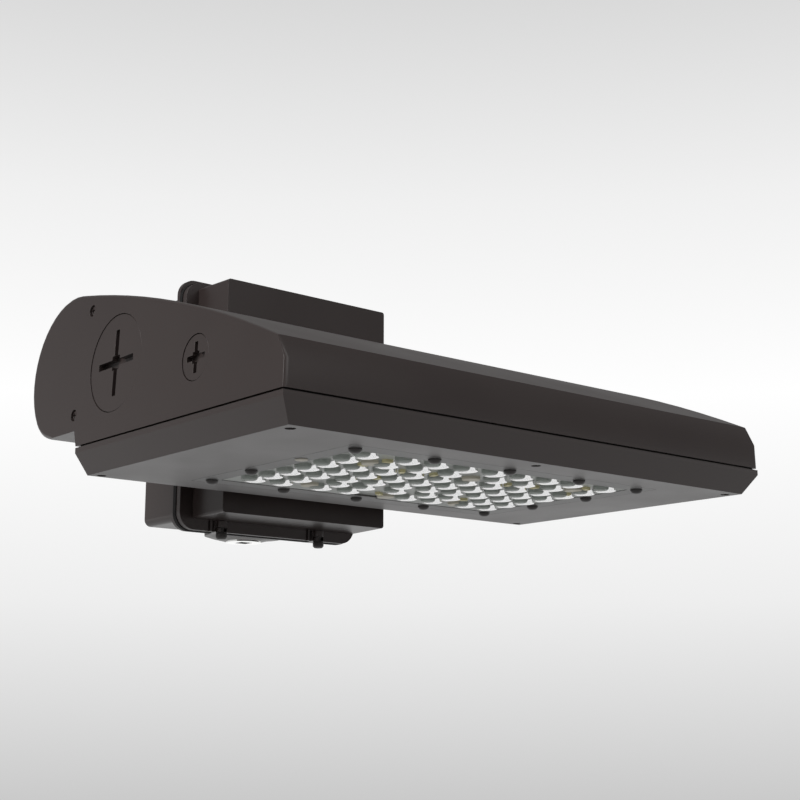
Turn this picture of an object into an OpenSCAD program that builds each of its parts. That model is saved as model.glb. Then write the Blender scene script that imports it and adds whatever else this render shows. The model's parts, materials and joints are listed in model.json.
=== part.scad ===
// Outdoor wall light: a flat LED head on a stand-off box, hung from a hinged wall plate.
// The wall is the plane y = 0, the head looks down and reaches towards -Y, and +Z is up.
// The origin is the centre of the back box's rear face.

/* [Back box] */
// Width of the cast back box
box_w = 143; // [136:0.5:155]
// Height of the back box
box_h = 164; // [150:1:174]
// Depth of the back box, wall to hinge plate
box_d = 44; // [40:1:60]
// Wall of the back box
box_wall = 4; // [3:0.5:5]
// Radius of the back box's long corners
box_corner_r = 5; // [3:0.5:8]
// Wall bolts, spacing across
bolt_dx = 104; // [90:1:110]
// Wall bolts, spacing in height
bolt_dz = 124; // [110:1:130]
// Wall bolt hole
bolt_hole_d = 7; // [5:0.5:8]
// Spacing of the two screw holes that fit a junction box
jbox_dx = 88.9; // [80:0.1:90]
// Junction box screw hole
jbox_hole_d = 5; // [4:0.5:6]
// Hole for the supply wires
wire_hole_d = 22; // [18:1:28]
// Width of the oval conduit hub under the back box
hub_w = 61; // [46:1:66]
// Depth of the conduit hub
hub_d = 40; // [36:1:40]
// How far the hub stands below the box
hub_drop = 7.4; // [3:0.1:9]
// Conduit entry bore
entry_d = 26.4; // [22:0.1:30]

/* [Plates] */
// How far the plates stand out past the wall box at each side
plate_side_lip = 5.2; // [3:0.1:8]
// How far the plates stand out above and below the wall box
plate_end_lip = 7.2; // [6:0.1:11]
// How far the hinge plate stands up past the front plate
hinge_plate_rise = 3.8; // [0:0.1:6]
// Corner radius of the plates
plate_r = 12; // [8:0.5:20]
// Thickness of the hinge plate on the wall side
hinge_plate_t = 4; // [3:0.5:5]
// Thickness of the rubber gasket between the plates
gasket_t = 3.5; // [3:0.5:5]
// Thickness of the front plate
front_plate_t = 5; // [4:0.5:7]
// Width of the wiring window in both plates
window_w = 96; // [70:1:100]
// Height of the wiring window
window_h = 100; // [80:1:110]
// Corner radius of the wiring window
window_r = 4; // [2:0.5:8]

/* [Top hinge] */
// Radius of the hinge knuckles
knuckle_r = 4.5; // [3.5:0.5:5.5]
// Width of one outer knuckle
knuckle_w = 14; // [10:1:18]
// Width of the middle knuckle
mid_knuckle_w = 27.4; // [20:0.2:34]
// Diameter of the hinge pin
pin_d = 4; // [3:0.5:5]
// Height of the hinge axis above the plates' top edge
hinge_rise = 1.5; // [1:0.5:3]

/* [Stand-off box] */
// How much narrower the stand-off box is than the plates, at each side
neck_side_in = 6.2; // [5.5:0.1:10]
// How much shorter the stand-off box is than the plates, at each end
neck_end_in = 6.7; // [5:0.1:10]
// Draft of the stand-off box, as its growth toward the plates at each side
neck_draft = 0.8; // [0:0.1:1.5]
// Depth of the stand-off box
neck_d = 37.5; // [30:0.5:50]
// Wall of the stand-off box
neck_wall = 3.5; // [3:0.5:5]
// Height of its centre above the back box's centre
neck_up = 1.8; // [1:0.1:5]
// How far the stand-off box and the head sit to the right of the back box's centre
neck_aside = 4.6; // [0:0.1:5]
// Head bolts, spacing across
head_bolt_dx = 90; // [70:1:100]
// Head bolts, spacing in height
head_bolt_dz = 44; // [36:1:50]

/* [Head] */
// Width of the head at the joint between door and housing
head_w = 390; // [360:5:420]
// Distance from the door's rear edge back to the face of the head's rear pocket
pocket_back = 22.9; // [20:0.1:28]
// Height of the head's underside below the back box's centre
head_drop = 71; // [67:0.1:75]
// Door frame in front of the bezel
door_front_band = 30.7; // [27:0.1:34]
// Door frame behind the bezel
door_rear_band = 25.3; // [23:0.1:28]
// Height of the door's lip above the underside
lip_w = 12.9; // [10:0.1:16]
// Height of the joint's lower face above the underside
door_top_w = 16.2; // [14:0.1:18]
// Height of the dark gap between door and housing
part_gap = 1.1; // [0.8:0.1:3]
// How far the door's sides draw in at the underside
door_draw_side = 8.9; // [5:0.1:12]
// How far the door's front draws in at the underside
door_draw_front = 7.2; // [4:0.1:10]
// How far the door's rear draws in at the underside
door_draw_rear = 0.5; // [0.2:0.1:2]
// Wall of the housing
head_wall = 3; // [2.5:0.5:4]
// Radius of the rear bulge
bulge_r = 49.3; // [46:0.1:52]
// Radius of the heel under the bulge
heel_r = 28.8; // [24:0.1:34]
// Radius that rounds the housing's side edges
side_edge_r = 2.8; // [1.5:0.1:4]

/* [Side plugs] */
// Bore for the large threaded plug
big_port_d = 60.8; // [56:0.1:64]
// Bore for the small threaded plug
small_port_d = 27.2; // [24:0.1:32]

/* [Light panel] */
// Width of the bezel in the door's opening
bezel_w = 252.6; // [246:0.2:258]
// Depth of the bezel
bezel_h = 163; // [158:0.5:166]
// Border of the bezel round the optics
bezel_border = 13; // [11:0.5:14]
// Space between the bezel's sides and the outermost domes
led_side_gap = 5.15; // [3:0.05:7]
// Space between the bezel's front and the first row of domes
led_front_gap = 0.35; // [0.2:0.05:4]
// Space between the last row of domes and the bezel's rear
led_rear_gap = 7.95; // [4:0.05:9]
// Diameter of one optic dome
dome_d = 16.5; // [14:0.5:17.5]

/* [Hidden] */
$fn = 48;

// Overrun of every cut, and the clearance between rigid pieces that pass each other
over = 1;
gap = 0.3;

// Plates follow the wall box, and the stand-off box follows the plates
plate_w = box_w + 2 * plate_side_lip;
plate_h = box_h + 2 * plate_end_lip;
neck_w = plate_w - 2 * neck_side_in;
neck_h = plate_h - 2 * neck_end_in;

// Door and head follow the bezel
door_depth = door_front_band + bezel_h + door_rear_band;
pocket_v = door_depth + pocket_back;
panel_v = door_front_band + bezel_h / 2;

// Stack from the wall outwards
box_front_y = -box_d;
hinge_plate_front_y = box_front_y - hinge_plate_t;
gasket_front_y = hinge_plate_front_y - gasket_t;
plate_front_y = gasket_front_y - front_plate_t;
neck_front_y = plate_front_y - neck_d;
neck_gasket_t = 1.5;
head_front_y = neck_front_y - neck_gasket_t - pocket_v;

// Conduit hub under the back box
hub_ring = 1.5;
hub_ring_d = entry_d + 2 * hub_ring;
hub_cone_h = 2.8;

// Screws of the wall side
post_d = 12;
post_inset = 9;
post_x = box_w / 2 - post_inset;
post_z = box_h / 2 - post_inset;
small_screw_d = 4;
small_head_d = 7.6;
small_head_h = 2.2;
thread_depth = 13;

// Gasket between the plates
gasket_band = 10;
gasket_lip = 0.5;

// Hinge
hinge_y = hinge_plate_front_y - gasket_t / 2;
hinge_z = plate_h / 2 + hinge_rise;
knuckle_gap = 0.3;
pin_clear = 0.05;
pin_end = 0.6;
hinge_notch_gap = 0.6;
pin_reach = mid_knuckle_w / 2 + knuckle_gap + knuckle_w;

// Lock screws at the plates' lower edge
lug_x = 42.6;
lug_r = 4;
lug_set_off = 0.8;
lug_y = plate_front_y - lug_set_off;
lock_shank_d = 4;
lock_head_d = 2 * lug_r;
lock_head_h = 4.4;
lock_head_round = 1.2;
lock_slack = 0.8;
lock_slot_d = 4.6;
tab_t = 2.5;
tab_w = 2 * lug_r;
tab_gap = 0.5;
neck_bottom_z = neck_up - neck_h / 2 - neck_draft;
drain_w = 2;
drain_side = 7.2;
drain_pitch = 3.6;
drain_deep = 2;

// Stand-off box
neck_corner_r = 2;
neck_post_d = 12;
neck_post_inset = 8;
neck_post_x = neck_w / 2 - neck_post_inset;
neck_post_drop = 24;
neck_post_z = neck_h / 2 - neck_post_drop;
head_bolt_d = 6;
head_bolt_hole_d = 6.4;
head_bolt_head_d = 10;
head_bolt_head_h = 5;
nut_d = 11.5;
nut_h = 5;
grommet_hole_d = 22;
grommet_bore_d = 12;
grommet_lip = 3;
grommet_lip_t = 1.2;
neck_gasket_w = 110;
neck_gasket_h = 66;

// Head, in its own frame: v runs back from the front edge, w up from the underside
part_w = door_top_w + part_gap;
kink_w = 33;
brow_v = 7.2;
brow_w = 46.3;
bulge_back = 17.9;
bulge_v = door_depth + bulge_back;
bulge_w = 68.1;
crest_slope = 10.5;
floor_w = 27.2;
step_back = 3.3;
step_v = door_depth + step_back;
side_lean_share = 0.04;
brow_drop_share = 0.2;
corner_share = 0.6;
rim_band = 9;
rim_h = 4.3;
heel_a = asin((bulge_w - heel_r - floor_w) / (bulge_r - heel_r));
pocket_gap = 1.5;
plate_pocket_gap = 2;
top_arc_n = 12;
rear_arc_n = 16;
heel_arc_n = 6;
edge_angles = [0, 30, 60, 90];

// Places on the head's side face, as v and w
big_port_fore = 42.3;
big_port = [door_depth - big_port_fore, 62.7];
small_port = [86, 48.9];
high_screw_fore = 8;
low_screw_back = 5.6;
side_screw_at = [[door_depth - high_screw_fore, 102.5], [door_depth + low_screw_back, 37.6]];
port_boss_wall = 5.6;
port_boss_len = 16;
plug_gap = 0.4;
plug_len = 13;
big_slot = [41, 4.2, 5];
small_slot = [18, 3.2, 4];
slot_core_share = 2.1;
ring_d = 2.4;
ring_depth = 9;
side_boss_d = 11;
side_boss_x = 12;
side_recess_d = 7.4;
side_recess = 2.6;
side_screw_len = 16;

// Door screws, as x and v
door_screw_side_in = 16;
door_screw_x = head_w / 2 - door_screw_side_in;
door_screw_front_v = 15.6;
door_screw_rear_in = 5.3;
door_screw_rear_v = door_depth - door_screw_rear_in;
door_screw_at = [
    [-door_screw_x, door_screw_front_v], [0, door_screw_front_v], [door_screw_x, door_screw_front_v],
    [-door_screw_x, door_screw_rear_v], [door_screw_x, door_screw_rear_v]
];
door_boss_d = 10;
door_boss_h = 14;
door_hole_d = 4.5;
door_recess_d = 6;
door_recess = 2.5;
door_gasket_inset = 2.5;
door_gasket_band = 6;
door_pad_d = 11;

// Light panel, heights above the underside
bezel_t = 2;
bezel_gap = 0.3;
bezel_bump_w = 22;
bezel_bump = 4;
lens_t = 2.2;
lens_gasket_t = 1;
door_floor = bezel_t + lens_t + lens_gasket_t;
heat_plate_t = 6;
heat_lap = 8;
board_t = 1.6;
board_recess = 1.8;
chip_h = 1;
chip_w = 3.5;
dome_h = 3.4;
dome_well_d = 6;
fin_t = 2;
fin_h = 19;
fin_n = 15;
fin_side_margin = 12;
heat_screw_inset = 4;
lens_screw_d = 3.2;
lens_head_d = 8;
lens_head_h = 1.8;
lens_screw_in = 6.8;
lens_corner_in = 9;
lens_side_in = 6.6;
lens_screw_dx = 60.5;
lens_side_dy = 25.5;

// LED places: half of each symmetric row, in pitches from the middle
led_columns = 10;
outer_row_shares = [0, 1.05, 2.1, 3.1, 4.5];
second_row_shares = [0.87, 2, 3.15, 4.5];
full_row_shares = [0.5, 1.5, 2.5, 3.5, 4.5];
sixth_row_shares = [0, 1.2, 2.15, 3.5, 4.5];
last_row_shares = [1.12, 2.15, 3.55, 4.5];
led_rows = [
    outer_row_shares, second_row_shares, full_row_shares, full_row_shares, full_row_shares,
    sixth_row_shares, last_row_shares
];
led_dx = (bezel_w - 2 * bezel_border - 2 * led_side_gap - dome_d) / (led_columns - 1);
led_field_v = bezel_h - 2 * bezel_border - led_front_gap - led_rear_gap - dome_d;
led_dy = led_field_v / (len(led_rows) - 1);
led_mid_v = door_front_band + bezel_border + led_front_gap + dome_d / 2 + led_field_v / 2;
led_at = [
    for (r = [0 : len(led_rows) - 1], share = led_rows[r], side = share == 0 ? [1] : [-1, 1])
        [side * share * led_dx, led_mid_v + (r - (len(led_rows) - 1) / 2) * led_dy]
];

// Small parts on the board between the optics, in pitches from the middle of the LED field
board_part_shares = [[-1.6, -2.5], [0.5, -2.5], [2.6, -2.5], [-3.6, 2.5], [0.1, 2.55], [2.8, 2.5]];
part_len = 4.5;
part_wid = 3;
part_h = 1.2;

// Driver and its tray
tray_d = 84;
tray_t = 1.5;
tray_fore = 37;
tray_v = door_depth - tray_fore;
tray_base_w = 42;
tray_lip = 8;
tray_boss_d = 10;
tray_boss_in = 10;
driver_l = 170;
driver_d = 62;
driver_h = 36;
driver_tab = 14;
driver_tab_t = 2;
driver_hole_in = 6;
surge_l = 50;
surge_d = 34;
surge_h = 22;
gear_gap = 6;
gear_l = driver_l + 2 * driver_tab + gear_gap + surge_l;
gear_end = 13;
tray_w = gear_l + 2 * gear_end;
driver_x = driver_tab + driver_l / 2 - gear_l / 2;
surge_x = gear_l / 2 - surge_l / 2;

// Cradle bracket that carries the head
cradle_t = 3;
cradle_low_w = 42;
cradle_high_w = 102;
cradle_v = pocket_v - head_wall - cradle_t;
cradle_screw_edge = 5.1;
cradle_flange = cradle_v - side_screw_at[0][0] + cradle_screw_edge;
cradle_x = head_w / 2 - head_wall - side_boss_x;

// Supply terminal block in the stand-off box
block_l = 52;
block_d = 16;
block_h = 20;
block_z = 36;
block_poles = 3;
block_pole_d = 7;
block_pole_deep = 9;

// Rounded rectangle with its centre at the origin
module round_rect(w, h, r) {
    square([w - 2 * r, h], center = true);
    square([w, h - 2 * r], center = true);
    for (sx = [-1, 1], sy = [-1, 1])
        translate([sx * (w / 2 - r), sy * (h / 2 - r)])
            circle(r = r);
}

// Upright slab that fills back_y to back_y - t
module slab(w, h, t, r, back_y) {
    translate([0, back_y, 0])
        rotate([90, 0, 0])
            linear_extrude(height = t)
                round_rect(w, h, r);
}

// Round bar along -Y from start_y
module bar_y(d, len, start_y) {
    translate([0, start_y, 0])
        rotate([90, 0, 0])
            cylinder(d = d, h = len);
}

// Round bar along X, centred on x = 0
module bar_x(d, len) {
    rotate([0, 90, 0])
        cylinder(d = d, h = len, center = true);
}

// Copies of the children at the four corners of a rectangle in X and Z
module at_corners(x, z) {
    for (sx = [-1, 1], sz = [-1, 1])
        translate([sx * x, 0, sz * z])
            children();
}

// Pan-head screw along -Z: its head's seat is at the origin, and the shank points to -Z
cross_len_share = 0.5;
cross_width_share = 0.13;
module pan_screw(d, len, head_d, head_h) {
    translate([0, 0, -len])
        cylinder(d = d, h = len + head_h / 2);
    difference() {
        intersection() {
            cylinder(d = head_d, h = head_h);
            translate([0, 0, head_h - head_d])
                sphere(r = head_d);
        }
        for (turn = [0, 90])
            rotate(turn)
                translate([-head_d * cross_len_share / 2, -head_d * cross_width_share / 2, head_h / 2])
                    cube([head_d * cross_len_share, head_d * cross_width_share, head_h]);
    }
}

// Oval outline of the conduit hub
module hub_outline() {
    half = (hub_w - hub_d) / 2;
    square([2 * half, hub_d], center = true);
    for (side = [-1, 1])
        translate([side * half, 0])
            circle(d = hub_d);
}

// Hub that stands down from the box, drawn in by a flat cone to the ring round the entry
module conduit_hub() {
    translate([0, 0, hub_cone_h])
        linear_extrude(height = hub_drop + box_wall - hub_cone_h)
            hub_outline();
    intersection() {
        linear_extrude(height = hub_cone_h + over)
            hub_outline();
        cylinder(d1 = hub_ring_d, d2 = hub_w, h = hub_cone_h + over);
    }
}

module back_box() color("#4b4543") {
    difference() {
        union() {
            slab(box_w, box_h, box_d, box_corner_r, 0);
            translate([0, -box_d / 2, -box_h / 2 - hub_drop])
                conduit_hub();
        }
        difference() {
            slab(box_w - 2 * box_wall, box_h - 2 * box_wall, box_d, box_wall, -box_wall);
            at_corners(post_x, post_z)
                bar_y(post_d, box_d, 0);
        }
        at_corners(post_x, post_z)
            bar_y(small_screw_d, thread_depth + over, box_front_y + thread_depth);
        at_corners(bolt_dx / 2, bolt_dz / 2)
            bar_y(bolt_hole_d, box_wall + 2 * over, over);
        for (side = [-1, 1])
            translate([side * jbox_dx / 2, 0, 0])
                bar_y(jbox_hole_d, box_wall + 2 * over, over);
        bar_y(wire_hole_d, box_wall + 2 * over, over);
        translate([ground_x, 0, ground_z])
            bar_y(ground_d + gap, box_wall / 2 + over, -box_wall / 2);
        translate([0, -box_d / 2, -box_h / 2 - hub_drop - over])
            cylinder(d = entry_d, h = hub_drop + box_wall + 2 * over);
    }
}

entry_stand = 1.2;
entry_socket = 9.5;
module entry_plug() color("#d9d9d6") {
    translate([0, -box_d / 2, -box_h / 2 - hub_drop])
        difference() {
            translate([0, 0, -entry_stand])
                cylinder(d = entry_d - 2 * pin_clear, h = entry_stand + hub_drop + box_wall / 2);
            translate([-entry_socket / 2, -entry_socket / 2, -entry_stand - over])
                cube([entry_socket, entry_socket, entry_stand + hub_drop / 2 + over]);
        }
}

ground_x = 30;
ground_z = -40;
ground_d = 5;
ground_head_d = 9;
ground_head_h = 3.5;
module ground_screw() color("#2f7d3b") {
    translate([ground_x, -box_wall, ground_z])
        rotate([90, 0, 0]) {
            cylinder(d = ground_head_d, h = ground_head_h, $fn = 6);
            translate([0, 0, -box_wall / 2])
                cylinder(d = ground_d, h = box_wall / 2 + ground_head_h / 2);
        }
}

// Space that the hinge knuckles and their webs sweep, as a cut in the plates' top edge
module knuckle_notch(x0, x1, t, back_y) {
    low_z = hinge_z - knuckle_r - hinge_notch_gap;
    translate([x0, back_y - t - over, low_z])
        cube([x1 - x0, t + 2 * over, plate_h]);
}

module hinge_plate() color("#433e3c") {
    mid = mid_knuckle_w / 2 + knuckle_gap;
    difference() {
        union() {
            difference() {
                translate([0, 0, hinge_plate_rise / 2])
                    slab(plate_w, plate_h + hinge_plate_rise, hinge_plate_t, plate_r, box_front_y);
                knuckle_notch(-mid, mid, hinge_plate_t, box_front_y);
            }
            for (side = [-1, 1]) {
                translate([side * (mid + knuckle_w / 2), hinge_y, hinge_z])
                    bar_x(2 * knuckle_r, knuckle_w);
                translate([side * (mid + knuckle_w / 2) - knuckle_w / 2, hinge_y, hinge_z - knuckle_r])
                    cube([knuckle_w, box_front_y - hinge_y, knuckle_r]);
                lock_tab(side * lug_x);
            }
        }
        translate([0, hinge_y, hinge_z])
            bar_x(pin_d + 2 * pin_clear, 2 * pin_reach + 2 * over);
        for (side = [-1, 1])
            translate([side * (pin_reach + pin_end), hinge_y, hinge_z])
                bar_x(pin_d + 2 * pin_end + 2 * gap, 2 * pin_end);
        slab(window_w, window_h, hinge_plate_t + 2 * over, window_r, box_front_y + over);
        at_corners(post_x, post_z)
            bar_y(small_screw_d + gap, hinge_plate_t + 2 * over, box_front_y + over);
    }
}

// Forked tab under the plates, open at its front so that a loosened lock screw swings out of it
module lock_tab(x) {
    difference() {
        union() {
            translate([x - tab_w / 2, lug_y, -plate_h / 2])
                cube([tab_w, box_front_y - lug_y, tab_t]);
            translate([x, lug_y, -plate_h / 2])
                cylinder(d = tab_w, h = tab_t);
        }
        translate([x, lug_y, -plate_h / 2 - over])
            cylinder(d = lock_slot_d, h = tab_t + 2 * over);
        translate([x - lock_slot_d / 2, lug_y - tab_w / 2 - over, -plate_h / 2 - over])
            cube([lock_slot_d, tab_w / 2 + over, tab_t + 2 * over]);
    }
}

module box_screws() color("#8d8f90") {
    at_corners(post_x, post_z)
        translate([0, hinge_plate_front_y, 0])
            rotate([90, 0, 0])
                pan_screw(small_screw_d - gap, hinge_plate_t + thread_depth - over,
                          small_head_d, small_head_h);
}

module hinge_pin() color("#8d8f90") {
    translate([0, hinge_y, hinge_z]) {
        bar_x(pin_d, 2 * pin_reach);
        for (side = [-1, 1])
            translate([side * (pin_reach + pin_end / 2 + pin_clear), 0, 0])
                bar_x(pin_d + 2 * pin_end, pin_end);
        bar_x(pin_d - pin_end, 2 * (pin_reach + pin_clear + pin_end / 2));
    }
}

// Cut at the plates' lower edge that clears the lock tabs
module tab_notches(t, back_y) {
    for (side = [-1, 1])
        translate([side * lug_x - tab_w / 2 - tab_gap, back_y - t - over, -plate_h])
            cube([tab_w + 2 * tab_gap, t + 2 * over, plate_h / 2 + tab_t + tab_gap]);
}

module plate_gasket() color("#1c1b1b") {
    difference() {
        slab(plate_w + 2 * gasket_lip, plate_h + 2 * gasket_lip, gasket_t, plate_r + gasket_lip,
             hinge_plate_front_y);
        slab(plate_w - 2 * gasket_band, plate_h - 2 * gasket_band, gasket_t + 2 * over, box_wall,
             hinge_plate_front_y + over);
        knuckle_notch(-pin_reach - over, pin_reach + over, gasket_t, hinge_plate_front_y);
        tab_notches(gasket_t, hinge_plate_front_y);
        at_corners(post_x, post_z)
            bar_y(small_head_d + 2 * gap, gasket_t + 2 * over, hinge_plate_front_y + over);
        at_neck()
            at_corners(neck_post_x, neck_post_z)
                bar_y(small_head_d + 2 * gap, gasket_t + 2 * over, hinge_plate_front_y + over);
    }
}

module front_plate() color("#433e3c") {
    half = mid_knuckle_w / 2;
    lug_bottom = -plate_h / 2 + tab_t + tab_gap;
    difference() {
        union() {
            difference() {
                slab(plate_w, plate_h, front_plate_t, plate_r, gasket_front_y);
                for (side = [-1, 1])
                    knuckle_notch(side < 0 ? -pin_reach - over : half, side < 0 ? -half : pin_reach + over,
                                  front_plate_t, gasket_front_y);
                tab_notches(front_plate_t, gasket_front_y);
            }
            translate([0, hinge_y, hinge_z])
                bar_x(2 * knuckle_r, 2 * half);
            translate([-half, plate_front_y, hinge_z - knuckle_r])
                cube([2 * half, hinge_y - plate_front_y, knuckle_r]);
            for (side = [-1, 1]) {
                translate([side * lug_x, lug_y, lug_bottom])
                    cylinder(r = lug_r, h = neck_bottom_z - lug_bottom);
                translate([side * lug_x - lug_r, lug_y, lug_bottom])
                    cube([2 * lug_r, plate_front_y - lug_y + over, neck_bottom_z - lug_bottom]);
            }
        }
        translate([0, hinge_y, hinge_z])
            bar_x(pin_d + 2 * pin_clear, 2 * pin_reach + 2 * over);
        slab(window_w, window_h, front_plate_t + 2 * over, window_r, gasket_front_y + over);
        at_neck()
            at_corners(neck_post_x, neck_post_z)
                bar_y(small_screw_d + gap, front_plate_t + 2 * over, gasket_front_y + over);
        for (side = [-1, 1]) {
            translate([side * lug_x, lug_y, lug_bottom - over])
                cylinder(d = lock_shank_d + 2 * pin_clear, h = neck_bottom_z - lug_bottom);
            for (step = [0, 1])
                translate([side * lug_x - drain_side - step * drain_pitch, plate_front_y - over,
                           -plate_h / 2 - over])
                    cube([drain_w, drain_deep + over, neck_bottom_z + plate_h / 2 + over]);
        }
    }
}

module plate_screws() color("#8d8f90") {
    at_neck()
        at_corners(neck_post_x, neck_post_z)
            translate([0, gasket_front_y, 0])
                rotate([-90, 0, 0])
                    pan_screw(small_screw_d - gap, front_plate_t + thread_depth - over,
                              small_head_d, small_head_h);
}

module lock_screws() color("#2b2726") {
    shank = tab_t + tab_gap + lock_slack + (neck_bottom_z + plate_h / 2 - tab_t - tab_gap) - 2 * over;
    for (side = [-1, 1])
        translate([side * lug_x, lug_y, -plate_h / 2 - lock_slack - lock_head_h]) {
            cylinder(d1 = lock_head_d - 2 * lock_head_round, d2 = lock_head_d, h = lock_head_round);
            translate([0, 0, lock_head_round])
                cylinder(d = lock_head_d, h = lock_head_h - lock_head_round);
            cylinder(d = lock_shank_d, h = lock_head_h + shank);
        }
}

// Centre of the stand-off box, which sits a little to one side of the plates
module at_neck() {
    translate([neck_aside, 0, neck_up])
        children();
}

module mount_box() color("#4b4543") {
    base_w = neck_w + 2 * neck_draft;
    base_h = neck_h + 2 * neck_draft;
    at_neck()
        difference() {
            translate([0, plate_front_y, 0])
                rotate([90, 0, 0])
                    linear_extrude(height = neck_d, scale = [neck_w / base_w, neck_h / base_h])
                        round_rect(base_w, base_h, neck_corner_r);
            difference() {
                slab(neck_w - 2 * neck_wall, neck_h - 2 * neck_wall, neck_d - neck_wall + over,
                     neck_corner_r, plate_front_y + over);
                at_corners(neck_post_x, neck_post_z)
                    bar_y(neck_post_d, neck_d + over, plate_front_y + over);
            }
            at_corners(neck_post_x, neck_post_z)
                bar_y(small_screw_d, thread_depth + over, plate_front_y + over);
            head_bolt_holes(neck_wall + 2 * over, neck_front_y + neck_wall + over);
        }
}

// Four bolt holes and the wire hole that join the stand-off box to the head
module head_bolt_holes(len, start_y) {
    at_corners(head_bolt_dx / 2, head_bolt_dz / 2)
        bar_y(head_bolt_hole_d, len, start_y);
    bar_y(grommet_hole_d, len, start_y);
}

module neck_gasket() color("#1c1b1b") {
    at_neck()
        difference() {
            slab(neck_gasket_w, neck_gasket_h, neck_gasket_t, box_corner_r, neck_front_y);
            head_bolt_holes(neck_gasket_t + 2 * over, neck_front_y + over);
        }
}

module wire_grommet() color("#1c1b1b") {
    back_y = neck_front_y + neck_wall;
    len = neck_wall + neck_gasket_t + head_wall + cradle_t;
    at_neck()
        difference() {
            union() {
                bar_y(grommet_hole_d - 2 * pin_clear, len, back_y);
                bar_y(grommet_hole_d + 2 * grommet_lip, grommet_lip_t, back_y + grommet_lip_t);
                bar_y(grommet_hole_d + 2 * grommet_lip, grommet_lip_t, back_y - len);
            }
            bar_y(grommet_bore_d, len + 2 * grommet_lip_t + 2 * over, back_y + grommet_lip_t + over);
        }
}

module head_bolts() color("#8d8f90") {
    back_y = neck_front_y + neck_wall;
    len = neck_wall + neck_gasket_t + head_wall + cradle_t + nut_h + over;
    at_neck()
        at_corners(head_bolt_dx / 2, head_bolt_dz / 2) {
            translate([0, back_y + head_bolt_head_h, 0])
                rotate([90, 0, 0])
                    cylinder(d = head_bolt_head_d, h = head_bolt_head_h, $fn = 6);
            bar_y(head_bolt_d, len + head_bolt_head_h / 2, back_y + head_bolt_head_h / 2);
        }
}

module head_nuts() color("#8d8f90") {
    back_y = head_front_y + cradle_v;
    at_neck()
        at_corners(head_bolt_dx / 2, head_bolt_dz / 2)
            difference() {
                translate([0, back_y, 0])
                    rotate([90, 0, 0])
                        cylinder(d = nut_d, h = nut_h, $fn = 6);
                bar_y(head_bolt_d + 2 * pin_clear, nut_h + 2 * over, back_y + over);
            }
}

module supply_block() color("#e4e0d4") {
    back_y = neck_front_y + neck_wall + block_h;
    translate([neck_aside, back_y, block_z])
        difference() {
            rotate([90, 0, 0])
                linear_extrude(height = block_h)
                    square([block_l, block_d], center = true);
            for (pole = [0 : block_poles - 1])
                translate([(pole - (block_poles - 1) / 2) * block_l / (block_poles + 1), 0, 0])
                    bar_y(block_pole_d, block_pole_deep + over, over);
            for (side = [-1, 1])
                translate([side * (block_l / 2 - small_screw_d), 0, 0])
                    bar_y(small_screw_d, block_h + 2 * over, over);
        }
}

module block_screws() color("#8d8f90") {
    back_y = neck_front_y + neck_wall + block_h;
    for (side = [-1, 1])
        translate([neck_aside + side * (block_l / 2 - small_screw_d), back_y, block_z])
            rotate([-90, 0, 0])
                pan_screw(small_screw_d - gap, block_h, small_head_d, small_head_h);
}

// Side outline of the head: points [v, w], set in by inset and lowered by drop along its edges
function top_arc(inset, drop) =
    let (
        r = bulge_r - inset - drop,
        b = [brow_v + inset, brow_w - inset - drop * brow_drop_share],
        t = [bulge_v - r * sin(crest_slope), bulge_w + r * cos(crest_slope)],
        half = atan2(t[1] - b[1], t[0] - b[0]) - crest_slope,
        big_r = norm(t - b) / (2 * sin(half)),
        c = [t[0] + big_r * sin(crest_slope), t[1] - big_r * cos(crest_slope)]
    )
    [for (i = [0 : top_arc_n])
        let (a = crest_slope + 2 * half * (1 - i / top_arc_n))
        [c[0] - big_r * sin(a), c[1] + big_r * cos(a)]];

function rear_arc(inset, drop) =
    let (r = bulge_r - inset - drop, a0 = 90 + crest_slope)
    [for (i = [1 : rear_arc_n])
        let (a = a0 - (a0 + heel_a) * i / rear_arc_n)
        [bulge_v + r * cos(a), bulge_w + r * sin(a)]];

function heel_arc(inset, drop) =
    let (
        r = heel_r - inset - drop,
        c = [bulge_v + (bulge_r - heel_r) * cos(heel_a), bulge_w - (bulge_r - heel_r) * sin(heel_a)]
    )
    [for (i = [1 : heel_arc_n])
        let (a = -heel_a - (90 - heel_a) * i / heel_arc_n)
        [c[0] + r * cos(a), c[1] + r * sin(a)]];

function head_outline(inset, drop, base_w) =
    let (front_v = inset + drop * corner_share, under_w = floor_w + inset + drop)
    concat(
        [[front_v, base_w], [front_v, kink_w]],
        top_arc(inset, drop), rear_arc(inset, drop), heel_arc(inset, drop),
        [[step_v - inset, under_w], [door_depth - inset, base_w]]
    );

// Distance from the middle plane to the leaning side face at height w
function side_x(w) = head_w / 2 - side_lean_share * (w - part_w);

// One cross-section of the head at a distance t in from its leaning side face
function head_ring(side, t, inset, drop, base_w) =
    [for (p = head_outline(inset, drop, base_w)) [side * (side_x(p[1]) - inset - t), p[0], p[1]]];

function head_rings(inset, base_w, edge_r) =
    concat(
        [for (a = edge_angles) head_ring(-1, edge_r * (1 - cos(a)), inset, edge_r * (1 - sin(a)), base_w)],
        [for (i = [len(edge_angles) - 1 : -1 : 0]) let (a = edge_angles[i])
            head_ring(1, edge_r * (1 - cos(a)), inset, edge_r * (1 - sin(a)), base_w)]
    );

// Closed skin through rings that all have the same number of points
module loft(rings) {
    n = len(rings[0]);
    m = len(rings);
    polyhedron(
        points = [for (ring = rings, p = ring) p],
        faces = concat(
            [[for (j = [n - 1 : -1 : 0]) j]],
            [for (i = [0 : m - 2], j = [0 : n - 1])
                [i * n + j, i * n + (j + 1) % n, (i + 1) * n + (j + 1) % n]],
            [for (i = [0 : m - 2], j = [0 : n - 1])
                [i * n + j, (i + 1) * n + (j + 1) % n, (i + 1) * n + j]],
            [[for (j = [0 : n - 1]) (m - 1) * n + j]]
        )
    );
}

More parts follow.
